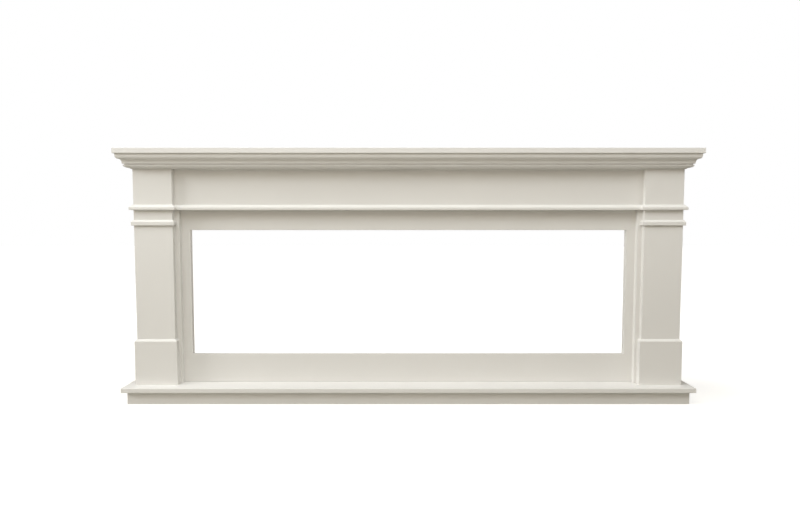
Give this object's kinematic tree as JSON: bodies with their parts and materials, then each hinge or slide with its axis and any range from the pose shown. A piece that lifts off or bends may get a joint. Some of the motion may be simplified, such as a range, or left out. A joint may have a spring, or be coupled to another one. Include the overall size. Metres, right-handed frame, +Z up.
{
  "type": "fireplace mantelpiece",
  "caption": "Wide low painted mantelpiece with pilasters, crowned shelf, recessed frieze, long fire opening and a raised hearth slab on a set-back base.",
  "frame": {"origin": "on the floor, in the middle of the width and of the depth", "axes": "+Z up, +X to the right of someone facing the mantelpiece, +Y into the wall behind it, so the front faces -Y"},
  "size_m": [1.972, 0.238, 0.872],
  "materials": {
    "painted_board": "satin paint, warm off-white, on fibreboard",
    "painted_moulding": "satin paint, warm off-white, on machined moulding"
  },
  "bodies": {
    "root": {"shelf": "painted_board", "crown_left": "painted_moulding", "crown_front": "painted_moulding", "crown_right": "painted_moulding", "crown_backer": "painted_board", "frieze_board": "painted_board", "ledge_left_outer": "painted_moulding", "ledge_left_front": "painted_moulding", "ledge_left_inner": "painted_moulding", "ledge_centre": "painted_moulding", "ledge_right_inner": "painted_moulding", "ledge_right_front": "painted_moulding", "ledge_right_outer": "painted_moulding", "collar_left_outer": "painted_moulding", "collar_left_front": "painted_moulding", "collar_left_inner": "painted_moulding", "collar_right_inner": "painted_moulding", "collar_right_front": "painted_moulding", "collar_right_outer": "painted_moulding", "plinth_left_outer": "painted_board", "plinth_left_front": "painted_board", "plinth_left_inner": "painted_board", "plinth_right_inner": "painted_board", "plinth_right_front": "painted_board", "plinth_right_outer": "painted_board", "pilaster_left_side": "painted_board", "pilaster_left_front": "painted_board", "pilaster_left_return": "painted_board", "pilaster_right_return": "painted_board", "pilaster_right_front": "painted_board", "pilaster_right_side": "painted_board", "stile_left": "painted_board", "stile_right": "painted_board", "fire_panel": "painted_board", "hearth_slab": "painted_board", "base_left": "painted_board", "base_front": "painted_board", "base_right": "painted_board"}
  },
  "joints": []
}
